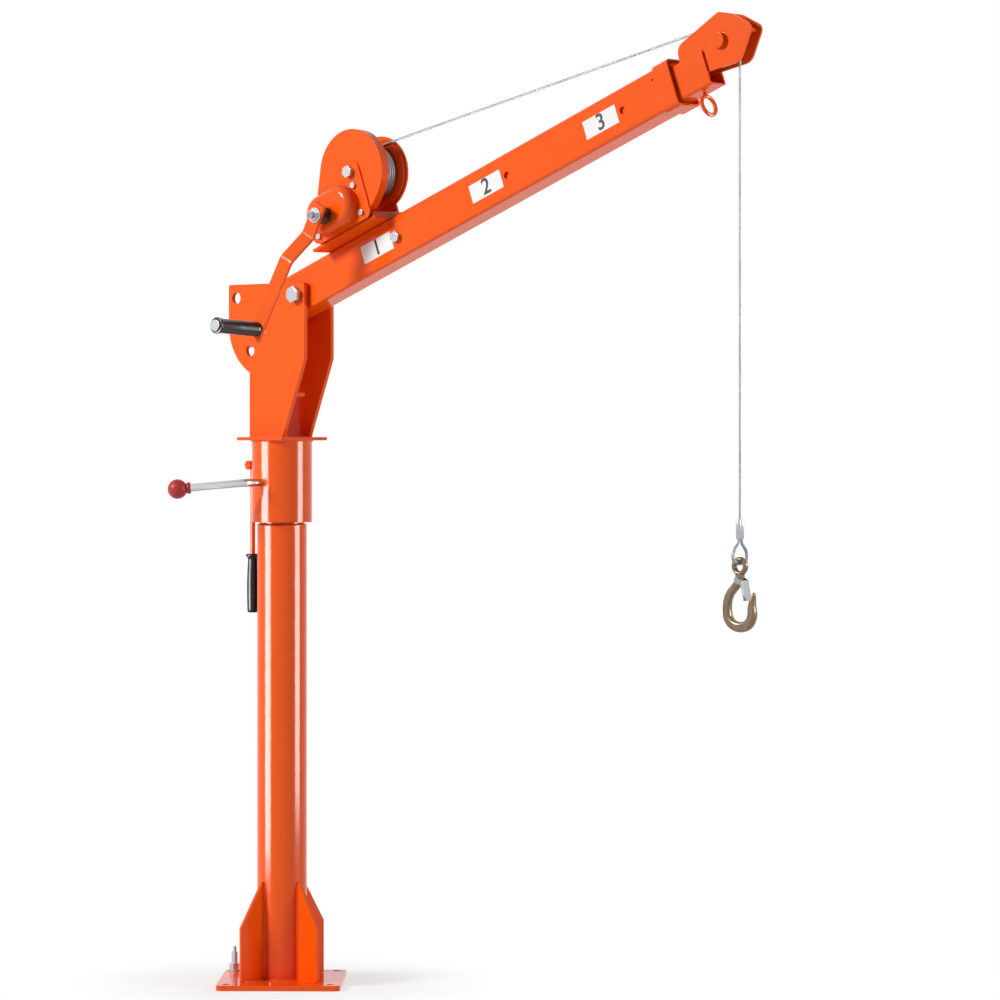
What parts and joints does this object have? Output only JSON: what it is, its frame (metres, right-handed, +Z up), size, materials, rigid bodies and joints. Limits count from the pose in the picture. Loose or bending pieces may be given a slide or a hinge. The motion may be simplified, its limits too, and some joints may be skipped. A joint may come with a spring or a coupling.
{
  "type": "pickup truck crane",
  "caption": "Davit crane with a swivelling mast, luffing telescopic boom, geared hand winch and a wire rope that runs over a head sheave to a latched hook; its base plate bolts to a truck bed",
  "frame": {"origin": "middle of the base plate's underside", "axes": "+Z up the post, +X the way the boom points, -Y the crank side"},
  "size_m": [1.2363, 0.4151, 1.6701],
  "materials": {
    "orange_powder_coat": "glossy powder coat",
    "zinc_plated_steel": "bright zinc plate",
    "machined_steel": "machined",
    "bush_bronze": "turned",
    "chrome_lever": "chrome plate",
    "red_knob": "gloss",
    "black_rubber": "satin",
    "black_steel": "black oxide",
    "wire_rope": "galvanised wire",
    "pressed_aluminium": "pressed",
    "yellow_zinc_hook": "yellow zinc plate",
    "white_label": "matt"
  },
  "bodies": {
    "base": {"base_plate": "orange_powder_coat", "post_tube": "orange_powder_coat", "post_gussets": "orange_powder_coat", "thrust_pad": "bush_bronze", "anchor_stud": "zinc_plated_steel", "anchor_washer": "zinc_plated_steel", "anchor_nut": "zinc_plated_steel"},
    "mast_head": {"swivel_sleeve": "orange_powder_coat", "sleeve_bushes": "bush_bronze", "head_flange": "orange_powder_coat", "cheek_near": "orange_powder_coat", "cheek_far": "orange_powder_coat", "cheek_peg": "orange_powder_coat", "pivot_bolt": "zinc_plated_steel", "pivot_nut": "zinc_plated_steel", "handle_bracket": "orange_powder_coat", "handle_bolt": "orange_powder_coat"},
    "clamp_lever": {"clamp_rod": "chrome_lever", "lever_ball": "red_knob"},
    "swing_handle": {"handle_rod": "orange_powder_coat", "handle_grip": "black_rubber"},
    "luff_lock": {"luff_pin": "zinc_plated_steel"},
    "boom": {"boom_tube": "orange_powder_coat", "pivot_bush": "bush_bronze", "boom_collar": "orange_powder_coat", "label_plates": "white_label", "winch_base": "orange_powder_coat", "winch_near_plate": "orange_powder_coat", "winch_far_plate": "orange_powder_coat", "gear_case": "orange_powder_coat", "pinion_cover": "orange_powder_coat", "cover_bolts": "zinc_plated_steel", "drum_axle": "zinc_plated_steel", "axle_nut": "zinc_plated_steel", "ratchet_wheel": "machined_steel", "ratchet_pawl": "machined_steel", "rope_span": "wire_rope"},
    "drum": {"winch_drum": "orange_powder_coat", "drum_gear": "machined_steel", "rope_core": "wire_rope", "rope_winding": "wire_rope"},
    "crank": {"pinion_shaft": "machined_steel", "crank_collar": "black_steel", "crank_arm": "orange_powder_coat", "crank_nut": "zinc_plated_steel", "grip_spindle": "zinc_plated_steel"},
    "grip": {"crank_grip": "black_rubber"},
    "reach_lock": {"boom_pin": "zinc_plated_steel"},
    "inner_boom": {"inner_tube": "orange_powder_coat", "head_plates": "orange_powder_coat", "sheave_axle": "orange_powder_coat", "keeper_pin": "orange_powder_coat", "ring_eye": "orange_powder_coat", "rope_wrap": "wire_rope"},
    "sheave_wheel": {"sheave": "machined_steel"},
    "rope_line": {"rope_fall": "wire_rope"},
    "hook_line": {"rope_ferrule": "pressed_aluminium", "rope_eye": "wire_rope"},
    "hook_body": {"hook": "yellow_zinc_hook"},
    "latch": {"hook_latch": "zinc_plated_steel"}
  },
  "joints": [
    {"name": "mast_swivel", "type": "hinge", "parent": "base", "child": "mast_head", "pos_m": [0, 0, 0.9], "axis": [0, 0, 1], "continuous": true},
    {"name": "swivel_clamp", "type": "hinge", "parent": "mast_head", "child": "clamp_lever", "pos_m": [0, -0.06, 0.899], "axis": [0, -1, 0], "range_deg": [0, 180]},
    {"name": "handle_fold", "type": "hinge", "parent": "mast_head", "child": "swing_handle", "pos_m": [-0.0665, -0.00817, 0.93], "axis": [-0.1219, 0.9925, 0], "range_deg": [0, 95]},
    {"name": "luff_pin_slide", "type": "slide", "parent": "mast_head", "child": "luff_lock", "axis": [0, -1, 0], "range_m": [0, 0.069]},
    {"name": "boom_luff", "type": "hinge", "parent": "mast_head", "child": "boom", "pos_m": [0.073, 0, 1.2335], "axis": [0, -1, 0], "range_deg": [-19.4, 19.4]},
    {"name": "drum_spin", "type": "hinge", "parent": "boom", "child": "drum", "pos_m": [0.23601, 0, 1.44284], "axis": [0, -1, 0], "range_deg": [-400, 880]},
    {"name": "crank_spin", "type": "hinge", "parent": "boom", "child": "crank", "pos_m": [0.20117, 0, 1.36641], "axis": [0, -1, 0], "range_deg": [-3230, 1470]},
    {"name": "grip_spin", "type": "hinge", "parent": "crank", "child": "grip", "pos_m": [0.0965, -0.15261, 1.16871], "axis": [0.0245, -0.9986, 0.0463], "continuous": true},
    {"name": "reach_pin_slide", "type": "slide", "parent": "boom", "child": "reach_lock", "axis": [0, -1, 0], "range_m": [0, 0.075]},
    {"name": "boom_extend", "type": "slide", "parent": "boom", "child": "inner_boom", "axis": [0.9367, 0, 0.3502], "range_m": [0, 0.549], "deforming": ["rope_span"]},
    {"name": "sheave_spin", "type": "hinge", "parent": "inner_boom", "child": "sheave_wheel", "pos_m": [1.02025, 0, 1.62396], "axis": [0, -1, 0], "range_deg": [-610, 1340]},
    {"name": "fall_swing", "type": "hinge", "parent": "inner_boom", "child": "rope_line", "pos_m": [1.02025, 0, 1.62396], "axis": [0, -1, 0], "range_deg": [-20, 20]},
    {"name": "hook_lift", "type": "slide", "parent": "rope_line", "child": "hook_line", "axis": [0, 0, 1], "range_m": [-0.32, 0.7], "deforming": ["rope_fall"]},
    {"name": "hook_swing", "type": "hinge", "parent": "hook_line", "child": "hook_body", "pos_m": [1.05025, 0, 0.775], "axis": [0, 1, 0], "range_deg": [-40, 40]},
    {"name": "latch_open", "type": "hinge", "parent": "hook_body", "child": "latch", "pos_m": [1.05025, 0, 0.7482], "axis": [0, 1, 0], "range_deg": [0, 35], "stiffness_Nm_per_rad": 0.05, "springref_deg": -11.46}
  ],
  "couplings": [
    {"joint": "crank_spin", "follows": "drum_spin", "ratio": -3.6667},
    {"joint": "sheave_spin", "follows": "drum_spin", "ratio": 1.5167},
    {"joint": "hook_lift", "follows": "drum_spin", "m_per_rad": 0.0455},
    {"joint": "fall_swing", "follows": "boom_luff", "ratio": -1}
  ]
}
